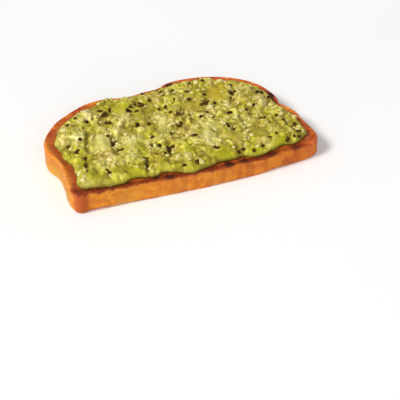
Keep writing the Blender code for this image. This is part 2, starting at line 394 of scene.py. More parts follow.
def new_object(name, points, faces, marks):
    """A smooth mesh object with its faces turned outwards, and lists of named numbers on its points."""
    mesh = bpy.data.meshes.new(name)
    mesh.from_pydata(points, [], faces)
    for mark, values in marks.items():
        mesh.attributes.new(mark, "FLOAT", "POINT").data.foreach_set("value", values)
    mesh.validate()
    turned = bmesh.new()
    turned.from_mesh(mesh)
    bmesh.ops.recalc_face_normals(turned, faces=turned.faces)
    turned.to_mesh(mesh)
    turned.free()
    mesh.shade_smooth()
    made = bpy.data.objects.new(name, mesh)
    bpy.context.scene.collection.objects.link(made)
    return made


def filled(ring, inner):
    """Points and triangles that fill a closed ring, using these points inside it."""
    edges = [(i, (i + 1) % len(ring)) for i in range(len(ring))]
    points, _, faces, _, _, _ = delaunay_2d_cdt(ring + inner, edges, [], 1, 1e-8)
    return points, faces


class Shell:
    """A closed mesh under construction, with named numbers on its points."""

    def __init__(self):
        self.points, self.faces, self.marks = [], [], {}

    def add(self, point, **marks):
        self.points.append(point)
        for name, value in marks.items():
            self.marks.setdefault(name, {})[len(self.points) - 1] = value
        return len(self.points) - 1

    def join(self, rings):
        """Quads between rings of point numbers, from the lowest up."""
        for lower, upper in zip(rings, rings[1:]):
            for i in range(len(lower)):
                j = (i + 1) % len(lower)
                self.faces.append((lower[i], lower[j], upper[j], upper[i]))

    def cap(self, ring, grids, height, upwards, **marks):
        """Fills a ring of point numbers with grids of further points, at heights given by a function.

        Each grid is its spacing and a function that tells which points to keep.
        """
        flat = [self.points[i].to_2d() for i in ring]
        inner = [p for spacing, keep in grids for p in grid_inside(flat, spacing, keep)]
        points, faces = filled(flat, inner)
        numbers = list(ring)
        for p in points[len(ring):]:
            numbers.append(self.add(Vector((p.x, p.y, height(p))), **{k: f(p) for k, f in marks.items()}))
        for face in faces:
            corners = [numbers[i] for i in face]
            self.faces.append(corners if upwards else corners[::-1])

    def object(self, name):
        numbers = range(len(self.points))
        marks = {mark: [values.get(i, 0.0) for i in numbers] for mark, values in self.marks.items()}
        return new_object(name, self.points, self.faces, marks)


def fractal(p, size, octaves, layer):
    """Smooth noise from about -1 to 1, whose largest features have this size."""
    height = p.z if len(p) == 3 else 0.0
    return noise.fractal(Vector((p.x, p.y, height)) / size + Vector((0, 0, layer)), 1.0, 2.0, octaves)


def smooth_step(low, high, value):
    """0 at low, 1 at high and beyond, and a smooth change between them. Low may be the greater."""
    share = min(1.0, max(0.0, (value - low) / (high - low)))
    return share * share * (3 - 2 * share)


def bell(p, x, y, reach):
    """1 at a place given in mm, falling off smoothly to 0 about a reach away."""
    return math.exp(-((p.x / MM - x) ** 2 + (p.y / MM - y) ** 2) / (0.5 * reach * reach))


def strongest(p, places):
    """The strongest of these places' pulls at a point: each is x, y and reach in mm, and a strength."""
    pulls = [strength * bell(p, x, y, reach) for x, y, reach, strength in places]
    return max(0.0, *pulls) + min(0.0, *pulls)


# ---- the toast


def crust_relief(p):
    """How far the crust stands out at a point of the slice's side."""
    swell = fractal(p, CRUST_SWELL_SIZE, 2, 3.0)
    wrinkle = fractal(Vector((p.x, p.y, p.z * 0.6)), CRUST_WRINKLE_SIZE, 3, 7.0)
    crease = sum(depth * bell(p, x, y, reach) for x, y, reach, depth in CREASES)
    return CRUST_SWELL * swell + CRUST_WRINKLE * wrinkle - crease * MM


def crumb_relief(p, layer):
    """The dry open crumb of a cut face: pores as dents, and a fine roughness between them."""
    place = Vector((p.x, p.y, layer))
    nearest = noise.voronoi(place / PORE_SPACING + Vector((0, 0, layer)))[0][0]
    chance = 0.5 + 0.5 * noise.cell(place / (2 * PORE_SPACING))
    pore = smooth_step(0.42, 0.10, nearest) * chance
    return CRUMB_ROUGHNESS * fractal(p, 1.7 * MM, 3, layer) - PORE_DEPTH * pore


def lip(distance):
    """How far the crust stands above the shrunken crumb, at this distance in from the outline."""
    return LIP_HEIGHT * 0.5 * (1 + math.cos(math.pi * min(1.0, distance / LIP_WIDTH)))


def foot_rounding(p):
    """The radius of the slice's lower edge, which is worn unevenly."""
    worn = sum(extra * bell(p, x, y, reach) for x, y, reach, extra in WORN_FEET)
    uneven = FOOT_ROUNDING + FOOT_UNEVENNESS * fractal(p, 7 * MM, 2, 51.0)
    return max(LEAST_FOOT_ROUNDING, uneven + worn * MM)


def toast_rings(outline, crumb):
    """The side as rings from the foot up: for each, every point's inset and height."""
    rings = []
    feet = [foot_rounding(p) for p in outline]
    for i in range(FOOT_STEPS):
        a = 0.5 * math.pi * i / FOOT_STEPS
        rings.append([(r * (1 - math.sin(a)), r * (1 - math.cos(a))) for r in feet])
    tops = [crumb(p) + lip(0) - RIM_ROUNDING for p in outline]
    for i in range(SIDE_STEPS):
        rings.append([(0.0, foot + (top - foot) * i / SIDE_STEPS) for foot, top in zip(feet, tops)])
    for i in range(RIM_STEPS + 1):
        a = 0.5 * math.pi * i / RIM_STEPS
        d, down = RIM_ROUNDING * (1 - math.cos(a)), RIM_ROUNDING * (1 - math.sin(a))
        rings.append([(d, crumb(p) + lip(d) - down) for p in outline])
    return rings


def make_toast(outline, spread_outline, crumb):
    near, spread_near = distance_to(outline), distance_to(spread_outline)
    shell = Shell()

    def top_height(p):
        d = near(p)
        relief = crumb_relief(p, 1.0) * smooth_step(1.2 * MM, 3.5 * MM, d)
        sag = CRUMB_SAG * fractal(p, CRUMB_SAG_SIZE, 2, 2.0)
        return crumb(p) + lip(d) + relief + sag * smooth_step(0, 4 * MM, d)

    def under_height(p):
        return max(0.0, -crumb_relief(p, 5.0)) * smooth_step(1.0 * MM, 3.0 * MM, near(p))

    def crust_share(p):
        return 1 - smooth_step(2.0 * MM, 4.5 * MM, near(p))

    def under_crust(p):
        return 1 - smooth_step(2.2 * MM, 4.0 * MM, near(p))

    def seared_and_shaded(p):
        """1 along the front of the rim: toasted darker, and painted shadow under the spread's front edge.
        """
        return smooth_step(-38 * MM, -43 * MM, p.y) * smooth_step(68 * MM, 60 * MM, p.x)

    def apart(p):
        """How far a point is from the spread's edge, as a share of 8 mm."""
        return spread_near(p) / (8 * MM)

    looks = {
        "baked_and_lit": lambda p: strongest(p, BAKED_AND_LIT),
        "burnt": lambda p: strongest(p, BURNT),
        "seared_and_shaded": seared_and_shaded,
        "apart": apart,
    }
    numbers = []
    for places in toast_rings(outline, crumb):
        ring = []
        for i, (p, (d, z)) in enumerate(zip(inset(outline, [d for d, _ in places]), places)):
            point = Vector((p.x, p.y, z))
            below = crumb(p) + lip(d) - z
            middle = smooth_step(0, 2.2 * MM, z) * smooth_step(0, 1.2 * MM, below + 0.3 * MM)
            point += outwards(outline, i).to_3d() * crust_relief(point) * (0.6 + 0.4 * middle)
            marks = {"below": below / SINGE_REACH, "top": smooth_step(1.4 * MM, 0.0, below)}
            marks.update({name: look(p) for name, look in looks.items()})
            ring.append(shell.add(point, crust=1.0, **marks))
        numbers.append(ring)
    shell.join(numbers)
    fine = (RIM_GRID, lambda p: 2.0 * MM < near(p) < RIM_STRIP)
    coarse = (HIDDEN_GRID, lambda p: near(p) > RIM_STRIP + HIDDEN_GRID / 2)
    shell.cap(numbers[-1], [fine, coarse], top_height, True, crust=crust_share, top=lambda p: 1.0, **looks)
    under = (UNDER_GRID, lambda p: near(p) > 2.9 * MM)
    marks = {"crust": under_crust, "below": lambda p: 2.0, "apart": lambda p: 1.0}
    shell.cap(numbers[0], [under], under_height, False, **marks)
    return shell.object("toast")


# ---- the spread


class Map:
    """Numbers on a square grid over the spread, read in between the grid's points."""

    def __init__(self, low, high, function=None):
        self.low, self.high = low, high
        self.columns = int((high.x - low.x) / MAP_PITCH) + 2
        self.rows = int((high.y - low.y) / MAP_PITCH) + 2
        self.values = np.zeros((self.rows, self.columns))
        if function is not None:
            for row in range(self.rows):
                for column in range(self.columns):
                    self.values[row, column] = function(self.place(row, column))

    def place(self, row, column):
        return self.low + Vector((column, row)) * MAP_PITCH

    def with_values(self, values):
        made = Map(self.low, self.high)
        made.values = values
        return made

    def blurred(self, reach):
        """The map with its numbers spread out over about this reach."""
        steps = max(1, round(reach / MAP_PITCH))
        weights = np.hanning(2 * steps + 3)[1:-1]
        weights /= weights.sum()
        padded = np.pad(self.values, steps, mode="edge")
        across = np.array([np.convolve(line, weights, "valid") for line in padded])
        return self.with_values(np.array([np.convolve(line, weights, "valid") for line in across.T]).T)

    def at(self, p):
        u = min(max((p.x - self.low.x) / MAP_PITCH, 0.0), self.columns - 1.001)
        v = min(max((p.y - self.low.y) / MAP_PITCH, 0.0), self.rows - 1.001)
        column, row = int(u), int(v)
        a, b = u - column, v - row
        near, far = self.values[row], self.values[row + 1]
        lower = near[column] * (1 - a) + near[column + 1] * a
        upper = far[column] * (1 - a) + far[column + 1] * a
        return float(lower * (1 - b) + upper * b)

    def window(self, centre, reach):
        """The rows and columns within a reach of a point, and how far each of them is from it."""
        column = (centre.x - self.low.x) / MAP_PITCH
        row = (centre.y - self.low.y) / MAP_PITCH
        steps = reach / MAP_PITCH
        rows = slice(max(0, math.ceil(row - steps)), max(0, math.floor(row + steps) + 1))
        columns = slice(max(0, math.ceil(column - steps)), max(0, math.floor(column + steps) + 1))
        y, x = np.mgrid[0 : self.rows, 0 : self.columns][:, rows, columns]
        return (rows, columns), (x - column) * MAP_PITCH, (y - row) * MAP_PITCH


def smear(p):
    """1 where the knife left the mash smooth, 0 where it is chunky."""
    return max(smooth_step(0.2, 0.75, bell(p, *place)) for place in SMEARS)


def strokes(p):
    """The height of the knife's strokes at a point: the highest ridge's plus the deepest furrow's."""
    highest = deepest = 0.0
    wander = 0.9 * MM * noise.noise(Vector((p.x, p.y, 3.0 * MM)) / (5 * MM))
    for x0, y0, x1, y1, width, height in STROKES:
        start, end = Vector((x0, y0)) * MM, Vector((x1, y1)) * MM
        along = (end - start).normalized()
        share = (p - start).dot(along) / (end - start).length
        off = abs((p - start).cross(along) + wander)
        ends = smooth_step(-0.1, 0.2, share) * smooth_step(1.1, 0.8, share)
        level = height * ends * smooth_step(0.5 * width * MM, 0.0, off)
        highest, deepest = max(highest, level), min(deepest, level)
    return highest + deepest


def dimples(p):
    """1 where dark seeds lie together in a dent of the mash."""
    return max(bell(p, x, y, 1.6 + 0.6 * count) for x, y, count in DARK_SEEDS)


def press_chunks(relief, tones, rnd):
    """Raises rounded chunks of several sizes out of the relief, and gives each a tone of its own."""
    knife = math.atan2(KNIFE.y, KNIFE.x)
    for count, least, greatest, low, high, turning, narrowest, palest in CHUNKS:
        base = relief.blurred(greatest * MM)
        for _ in range(count):
            x, y = rnd.uniform(relief.low.x, relief.high.x), rnd.uniform(relief.low.y, relief.high.y)
            centre = Vector((x, y))
            reach, height = MM * rnd.uniform(least, greatest), MM * rnd.uniform(low, high)
            narrow, tone = rnd.uniform(narrowest, 1.0), rnd.uniform(palest, 1.0)
            turn = knife + math.radians(rnd.uniform(-turning, turning))
            phase = rnd.uniform(0, 2 * math.pi)
            (rows, columns), x, y = relief.window(centre, reach * 1.3)
            u = (x * math.cos(turn) + y * math.sin(turn)) / reach
            v = (y * math.cos(turn) - x * math.sin(turn)) / (reach * narrow)
            angle = np.arctan2(v, u)
            uneven = 1 + 0.22 * np.sin(2 * angle + phase) + 0.18 * np.sin(3 * angle - 2 * phase)
            dome = np.clip(1 - (u * u + v * v) * uneven, 0, None) ** CHUNK_ROUNDING
            risen = base.at(centre) + height * (dome - CHUNK_SUNK_SHARE)
            higher = (dome > 0) & (risen > relief.values[rows, columns])
            relief.values[rows, columns][higher] = risen[higher]
            tones.values[rows, columns][higher] = tone


class Mash:
    """The uneven top of the mashed avocado, as maps of its relief, its tones and its painted shade and
    light.
    """

    def __init__(self, low, high, seed):
        random_source = random.Random(seed)
        rough = Map(low, high, self.mounds)
        tones = Map(low, high, lambda p: 0.5)
        press_chunks(rough, tones, random_source)
        smooth = rough.blurred(FLAT_REACH)
        smeared = Map(low, high, smear).values
        drawn = Map(low, high, strokes).values
        streaks = Map(low, high, self.streaks).values
        dents = Map(low, high, dimples).values
        pressed = np.maximum(0.92 * smeared, 0.6 * np.clip(-drawn / 1.5, 0, 1))
        values = rough.values * (1 - pressed) + smooth.values * pressed
        self.relief = rough.with_values(values + streaks + MM * drawn - SEED_DENT * dents)
        soft = self.relief.blurred(1.8 * MM)
        sunk = soft.values - self.relief.values
        # the strokes' heights go into the tone: painted shade in the furrows, painted light on their ridges
        self.stroke = rough.with_values(drawn)
        # painted shade: darker in the hollows and in the dents where dark seeds lie
        self.hollow_shade = rough.with_values(np.clip(sunk / HOLLOW_DEPTH, 0, 1) + 0.35 * dents).blurred(0.4 * MM)
        # painted highlight: paler on the ridges
        self.ridge = rough.with_values(np.clip(-sunk / RIDGE_HEIGHT, 0, 1)).blurred(0.4 * MM)
        self.tone = rough.with_values(tones.values * (1 - smeared) + 0.5 * smeared).blurred(0.5 * MM)

    def mounds(self, p):
        q = p.to_3d() + Vector((fractal(p, 8 * MM, 2, 11.0), fractal(p, 8 * MM, 2, 17.0), 0)) * 2.0 * MM
        q = Vector((1.2 * q.x, 0.7 * q.y, 0))
        large = MOUND_HEIGHT * noise.noise(q / MOUND_SIZE)
        return large + SMALL_MOUND_HEIGHT * noise.noise(q / SMALL_MOUND_SIZE + Vector((0, 0, 5.0)))

    def streaks(self, p):
        """Fine lines that the knife drew."""
        along, across = p.x * KNIFE.x + p.y * KNIFE.y, p.y * KNIFE.x - p.x * KNIFE.y
        drawn = noise.noise(Vector((along / (22 * MM), across / (3.4 * MM), 5.0)))
        fine = noise.noise(Vector((along / (9 * MM), across / (1.2 * MM), 9.0)))
        return MM * (0.6 * drawn + 0.14 * fine + 0.07 * fractal(p, 1.0 * MM, 2, 21.0))


def cad_thickness(tree, crumb, low, high):
    """How thick the CAD spread is over the crumb, smoothed, as a function of a point."""
    def measured(p):
        hit = tree.ray_cast(Vector((*p, OVERHEAD)), DOWN)[0]
        return 0.0 if hit is None else hit.z - crumb(p)

    heights = Map(low, high, measured)
    covered = heights.with_values((heights.values > LEAST_CAD_SPREAD).astype(float))
    inside = heights.with_values(heights.values * covered.values)
    amount, share = inside.blurred(CAD_TOP_BLUR).values, covered.blurred(CAD_TOP_BLUR).values
    return heights.with_values(amount / np.maximum(share, 0.01)).at


def waved(outline):
    """The spread's outline with the lobes and ripples of its edge."""
    moved = []
    for i, p in enumerate(outline):
        wave = EDGE_WAVE * fractal(p, 9 * MM, 2, 31.0) + EDGE_RIPPLE * fractal(p, 2.6 * MM, 2, 37.0)
        lobe = sum(amount * bell(p, x, y, reach) for x, y, reach, amount in LOBES)
        moved.append(p + outwards(outline, i) * (wave + lobe * MM))
    return moved


def make_spread(wavy, crumb, tree):
    near = distance_to(wavy)
    margin = Vector((2 * MM, 2 * MM))
    low, high = box_of(wavy)
    low, high = low - margin, high + margin
    mash, cad_top = Mash(low, high, 11), cad_thickness(tree, crumb, low, high)
    shell = Shell()

    def foot_height(p):
        return crumb(p) - SPREAD_SINK

    def full_height(p, d):
        swell = EDGE_SWELL * smooth_step(EDGE_SWELL_REACH, 1.0 * MM, d)
        relief = mash.relief.at(p) * (0.4 + 0.6 * smooth_step(0, 6 * MM, d))
        return crumb(p) + max(LEAST_SPREAD, cad_top(p) + swell + relief)

    def top_height(p):
        return full_height(p, near(p))

    marks = {
        "edge": lambda p: 1 - smooth_step(0.6 * MM, 7.0 * MM, near(p)),
        "hollow_shade": mash.hollow_shade.at,
        "ridge": mash.ridge.at,
        "tone": mash.tone.at,
        "stroke": mash.stroke.at,
    }
    for name, places in TINTS.items():
        marks[name] = lambda p, places=places: strongest(p, places)
    rings = []
    for inwards, share in EDGE_PROFILE:
        ring = []
        for p in inset(wavy, inwards):
            foot = foot_height(p)
            point = Vector((p.x, p.y, foot + share * (full_height(p, inwards) - foot)))
            side = {name: mark(p) for name, mark in marks.items()}
            # the edge's face is painted darker towards its foot: painted shade where it meets the toast
            side["hollow_shade"] = max(side["hollow_shade"], smooth_step(0.95, 0.15, share))
            ring.append(shell.add(point, **side))
        rings.append(ring)
    shell.join(rings)
    fine = (SPREAD_GRID, lambda p: near(p) > EDGE_PROFILE[-1][0] + 0.3 * MM)
    shell.cap(rings[-1], [fine], top_height, True, **marks)
    shell.cap(rings[0], [(HIDDEN_GRID, lambda p: near(p) > 3 * MM)], foot_height, False)
    return shell.object("avocado")


# ---- the seasoning


def teardrop(length, width, thickness):
    """A sesame seed's points and faces: round at one end and pointed at the other, along X."""
    rings, sides = SESAME_RINGS, SESAME_SIDES
    points, faces = [Vector((-0.5 * length, 0, 0))], []
    for i in range(1, rings):
        share = i / rings
        x = -0.5 * length * math.cos(math.pi * share)
        girth = math.sin(math.pi * share) * (1 + 0.3 * math.cos(math.pi * share))
        for k in range(sides):
            a = 2 * math.pi * k / sides
            y, z = 0.5 * width * girth * math.cos(a), 0.5 * thickness * girth * math.sin(a)
            points.append(Vector((x, y, z)))
    points.append(Vector((0.5 * length, 0, 0)))
    last = len(points) - 1
    for k in range(sides):
        j = (k + 1) % sides
        faces.append((0, 1 + j, 1 + k))
        for i in range(rings - 2):
            a, b = 1 + i * sides, 1 + (i + 1) * sides
            faces.append((a + k, a + j, b + j, b + k))
        start = 1 + (rings - 2) * sides
        faces.append((start + k, start + j, last))
    return points, faces


def pebble(size, seed, flat, roughness, detail):
    """A rough rounded grain's points and faces."""
    mesh = bmesh.new()
    bmesh.ops.create_icosphere(mesh, subdivisions=detail, radius=size / 2)
    for v in mesh.verts:
        bump = noise.noise(v.co / size * 1.6 + Vector((seed, 0, 0)))
        v.co *= 1 + roughness * 2 * bump
        v.co.z *= flat
    points = [v.co.copy() for v in mesh.verts]
    faces = [tuple(v.index for v in f.verts) for f in mesh.faces]
    mesh.free()
    return points, faces


class Scatter:
    """Places small things on the spread: it finds free spots and the surface's height and slope there."""

    def __init__(self, spread, outline, seed):
        self.tree = tree_of(spread)
        self.near = distance_to(outline)
        self.low, self.high = box_of(outline)
        self.outline = outline
        self.random = random.Random(seed)
        self.taken = {}

    def cell(self, p):
        return int(p.x // TAKEN_CELL), int(p.y // TAKEN_CELL)

    def free(self, p, clearance):
        i, j = self.cell(p)
        around = [(a, b) for a in (i - 1, i, i + 1) for b in (j - 1, j, j + 1)]
        near = [taken for cell in around for taken in self.taken.get(cell, ())]
        return all((p - q).length >= 0.5 * (clearance + other) for q, other in near)

    def spot(self, density, clearance, around):
        """A free place, likelier where density is high or near a given place, with its point and normal."""
        rnd, wander = self.random, CLUSTER_REACH
        while True:
            if around is None:
                p = Vector((rnd.uniform(self.low.x, self.high.x), rnd.uniform(self.low.y, self.high.y)))
            else:
                p = around + Vector((rnd.gauss(0, wander), rnd.gauss(0, wander)))
                wander *= CLUSTER_GROWTH
            if around is None and rnd.random() > density(p):
                continue
            if not encloses(self.outline, p) or self.near(p) < SEASONING_MARGIN:
                continue
            if not self.free(p, clearance):
                continue
            hit, normal = self.tree.ray_cast(Vector((*p, OVERHEAD)), DOWN)[:2]
            if hit is None or normal.z < LEAST_UPWARD:
                continue
            self.taken.setdefault(self.cell(p), []).append((p, clearance))
            return hit, normal

    def scatter(self, name, count, make, density, clearance, sink, places=()):
        """One joined mesh of this many things, the first of them at these places.

        make(random) gives each one's points, faces and thickness, and sink is the share of the thickness
        that lies in the mash.
        """
        rnd = self.random
        points, faces, tones = [], [], []
        for around in [*places, *[None] * (count - len(places))]:
            shape, shape_faces, thickness = make(rnd)
            hit, normal = self.spot(density, clearance, around)
            turn = Matrix.Rotation(rnd.uniform(0, 2 * math.pi), 3, "Z")
            lean = Matrix.Rotation(math.radians(rnd.gauss(0, SEASONING_TILT)), 3, "X")
            lean = Matrix.Rotation(math.radians(rnd.gauss(0, SEASONING_TILT)), 3, "Y") @ lean
            align = UP.rotation_difference(normal).to_matrix()
            place = align @ turn @ lean
            centre = hit + normal * thickness * (0.5 - sink)
            base = len(points)
            points += [centre + place @ v for v in shape]
            faces += [tuple(base + i for i in f) for f in shape_faces]
            tones += [rnd.random()] * len(shape)
        return new_object(name, points, faces, {"tone": tones})


# ---- materials


def linear(red, green, blue):
    """A colour given as it shows on a screen, 0 to 255, as the linear colour that shaders take."""
    shares = [c / 255 for c in (red, green, blue)]
    return (*[c / 12.92 if c <= 0.04045 else ((c + 0.055) / 1.055) ** 2.4 for c in shares], 1.0)


class Paint:
    """A material under construction, with short ways to add and join its nodes."""

    def __init__(self, name, **shader_values):
        self.material = bpy.data.materials.new(name)
        self.material.use_nodes = True
        self.tree = self.material.node_tree
        self.shader = self.tree.nodes["Principled BSDF"]
        for key, value in shader_values.items():
            self.shader.inputs[key.replace("_", " ")].default_value = value
        self.place = self.add("ShaderNodeTexCoord").outputs["Object"]

    def add(self, kind, values=None, **settings):
        made = self.tree.nodes.new(kind)
        for key, value in settings.items():
            setattr(made, key, value)
        for key, value in (values or {}).items():
            if isinstance(value, bpy.types.NodeSocket):
                self.tree.links.new(value, made.inputs[key])
            else:
                made.inputs[key].default_value = value
        return made

    def stretched(self, scale, shift=(0, 0, 0)):
        values = {"Vector": self.place, "Scale": scale, "Location": shift}
        return self.add("ShaderNodeMapping", values).outputs["Vector"]

    def noise(self, size, detail=3.0, roughness=0.55, stretch=(1, 1, 1), shift=(0, 0, 0), distortion=0.0):
        """Noise with features of this size."""
        values = {
            "Vector": self.stretched(stretch, shift),
            "Scale": 1 / size,
            "Detail": detail,
            "Roughness": roughness,
            "Distortion": distortion,
        }
        return self.add("ShaderNodeTexNoise", values).outputs["Fac"]

    def cells(self, size, shift=(0, 0, 0)):
        """How far each point is from the middle of its cell, for cells of this size."""
        values = {"Vector": self.stretched((1, 1, 1), shift), "Scale": 1 / size}
        return self.add("ShaderNodeTexVoronoi", values).outputs["Distance"]

    def mark(self, name):
        """A number stored on the mesh's points."""
        return self.add("ShaderNodeAttribute", attribute_name=name).outputs["Fac"]

    def ramp(self, factor, *stops):
        """Numbers, or 8-bit red, green and blue, at places from 0 to 1 along a factor."""
        made = self.add("ShaderNodeValToRGB", {"Fac": factor})
        ramp = made.color_ramp
        while len(ramp.elements) < len(stops):
            ramp.elements.new(0.5)
        for element, (at, *value) in zip(ramp.elements, stops):
            element.position = at
            element.color = linear(*value) if len(value) == 3 else (*value * 3, 1)
        return made.outputs["Color"]

    def mix(self, factor, first, second):
        """The first colour where the factor is 0, the second where it is 1, which may be 8-bit numbers."""
        made = self.add("ShaderNodeMix", data_type="RGBA")
        for key, value in (("Factor_Float", factor), ("A_Color", first), ("B_Color", second)):
            socket = next(s for s in made.inputs if s.identifier == key)
            if isinstance(value, tuple):
                socket.default_value = linear(*value)
            else:
                self.tree.links.new(value, socket)
        return next(s for s in made.outputs if s.identifier == "Result_Color")

    def math(self, operation, first, second=0.0, clamp=False):
        values = {0: first, 1: second}
        return self.add("ShaderNodeMath", values, operation=operation, use_clamp=clamp).outputs[0]

    def times(self, first, second, clamp=False):
        return self.math("MULTIPLY", first, second, clamp)

    def swing(self, base, noise, amount):
        """The base value, made uneven by this share of a noise."""
        return self.math("ADD", base, self.times(self.math("SUBTRACT", noise, 0.5), amount))

    def total(self, *parts):
        """The sum of several values, each with a weight."""
        summed = 0.0
        for value, weight in parts:
            values = {0: value, 1: weight, 2: summed}
            summed = self.add("ShaderNodeMath", values, operation="MULTIPLY_ADD").outputs[0]
        return summed

    def bump(self, height, distance, strength=1.0, under=None):
        values = {"Height": height, "Distance": distance, "Strength": strength}
        if under is not None:
            values["Normal"] = under
        return self.add("ShaderNodeBump", values).outputs["Normal"]

    def finish(self, **sockets):
        for key, value in sockets.items():
            self.tree.links.new(value, self.shader.inputs[key.replace("_", " ")])
        return self.material


def toast_material():
    paint = Paint("toasted_bread", Specular_IOR_Level=0.25)
    below, crust, top, apart = map(paint.mark, ("below", "crust", "top", "apart"))
    bake_and_light, burnt, seared_and_shaded = map(paint.mark, ("baked_and_lit", "burnt", "seared_and_shaded"))
    broad = paint.noise(16 * MM, 3.0, 0.55, (1, 1, 1.6))
    patchy = paint.noise(6.5 * MM, 2.0, 0.5, (1, 1, 1.8), (4, 4, 4))
    fine = paint.noise(2.4 * MM, 4.0, 0.6, (1, 1, 0.7), (3, 1, 2))
    tone = paint.total((broad, 0.4), (patchy, 0.35), (fine, 0.25))
    browns = ((0.36, 192, 98, 20), (0.45, 216, 127, 30), (0.53, 229, 145, 39), (0.64, 245, 167, 56))
    side = paint.ramp(tone, *browns)
    side = paint.mix(paint.ramp(patchy, (0.34, 0.38), (0.46, 0.0)), side, (202, 104, 26))
    side = paint.mix(paint.ramp(patchy, (0.55, 0.0), (0.67, 0.45)), side, (240, 172, 56))
    side = paint.mix(paint.ramp(bake_and_light, (0.0, 0.0), (1.0, 0.9)), side, (178, 80, 22))
    # the crust is browner or paler in places; on the right rim the paleness is painted light against the
    # spread's shade
    paleness = paint.ramp(paint.times(bake_and_light, -1.0), (0.0, 0.0), (1.0, 0.9))
    # where it stayed pale, the crust is palest at its foot
    down = paint.times(below, SINGE_REACH / (13 * MM))
    pales = ((0.2, 196, 120, 38), (0.5, 199, 138, 42), (0.7, 201, 145, 54), (0.95, 208, 164, 90))
    side = paint.mix(paleness, side, paint.ramp(down, *pales))
    # a slow change along the slice: redder towards the thin end, as in an uneven oven
    x = paint.add("ShaderNodeSeparateXYZ", {0: paint.place}).outputs["X"]
    values = {"Value": x, "From Min": -50 * MM, "From Max": 80 * MM, "To Max": 0.75}
    thin_end = paint.add("ShaderNodeMapRange", values).outputs[0]
    side = paint.mix(thin_end, side, (208, 108, 24))
    # and with upright streaks there
    streaks = paint.ramp(paint.noise(5 * MM, 2.0, 0.5, (1, 1, 0.35), (7, 3, 1)), (0.4, 1.0), (0.52, 0.0))
    side = paint.mix(paint.times(streaks, thin_end), side, (166, 70, 18))
    # the top edge is toasted darker, fading down the side
    border = paint.swing(paint.swing(below, broad, -0.7), fine, 0.5)
    # the front of the rim is dark only as far as its edge
    border = paint.times(border, paint.math("ADD", 1.0, paint.times(seared_and_shaded, 0.7)))
    singe = paint.ramp(border, (0.0, 1.0), (0.22, 0.85), (0.4, 0.2), (0.56, 0.0))
    blotchy = paint.total((fine, 0.5), (patchy, 0.5))
    light_rim = paint.ramp(blotchy, (0.38, 168, 62, 18), (0.5, 206, 96, 30), (0.62, 234, 134, 54))
    dark_rim = paint.ramp(blotchy, (0.38, 124, 42, 12), (0.5, 144, 56, 16), (0.62, 166, 76, 26))
    paler_rim = paint.times(paleness, paint.math("SUBTRACT", 1.0, seared_and_shaded))
    # along the front the rim is darker: partly toasting, partly painted shadow under the spread's front
    # edge
    dark = paint.mix(paler_rim, paint.mix(seared_and_shaded, light_rim, dark_rim), (234, 146, 48))
    side = paint.mix(singe, side, dark)
    # next to the spread the top is darker still: partly painted shadow under the spread's edge, partly
    # toasting
    spread_shadow_and_toast = paint.ramp(paint.swing(apart, fine, 0.3), (0.03, 1.0), (0.2, 0.75), (0.42, 0.2), (0.6, 0.0))
    side = paint.mix(paint.times(spread_shadow_and_toast, top), side, (116, 42, 12))
    # the cut faces: the upper one is toasted darker
    pores = paint.noise(2.0 * MM, 4.0, 0.65, shift=(9, 2, 4))
    patches = paint.noise(12 * MM, 3.0, 0.6, shift=(5, 5, 5))
    browning = paint.total((pores, 0.45), (patches, 0.55))
    upper = paint.ramp(browning, (0.34, 140, 58, 18), (0.48, 178, 84, 30), (0.64, 206, 112, 46))
    lower = paint.ramp(browning, (0.34, 142, 80, 36), (0.47, 196, 130, 64), (0.62, 232, 186, 120))
    colour = paint.mix(crust, paint.mix(top, lower, upper), side)
    # burnt spots, and small dark blisters along the rim
    rim = paint.ramp(below, (0.05, 1.0), (0.4, 0.0))
    scorch = paint.times(paint.ramp(paint.swing(burnt, fine, 1.2), (0.25, 0.0), (0.8, 1.0)), rim)
    colour = paint.mix(scorch, colour, (72, 20, 12))
    blister = paint.ramp(paint.cells(3.4 * MM, (2, 2, 2)), (0.08, 0.5), (0.26, 0.0))
    near_rim = paint.ramp(border, (0.3, 1.0), (0.9, 0.3))
    colour = paint.mix(paint.times(blister, near_rim), colour, (150, 60, 22))
    grain = paint.noise(0.9 * MM, 5.0, 0.7)
    pits = paint.ramp(blister, (0.0, 1.0), (0.6, 0.0))
    normal = paint.bump(pits, 0.25 * MM, 0.6, under=paint.bump(grain, 0.35 * MM, 0.5))
    shine = paint.ramp(tone, (0.4, 0.5), (0.6, 0.7))
    shine = paint.math("SUBTRACT", shine, paint.times(singe, 0.12))
    return paint.finish(Base_Color=colour, Roughness=shine, Normal=normal)


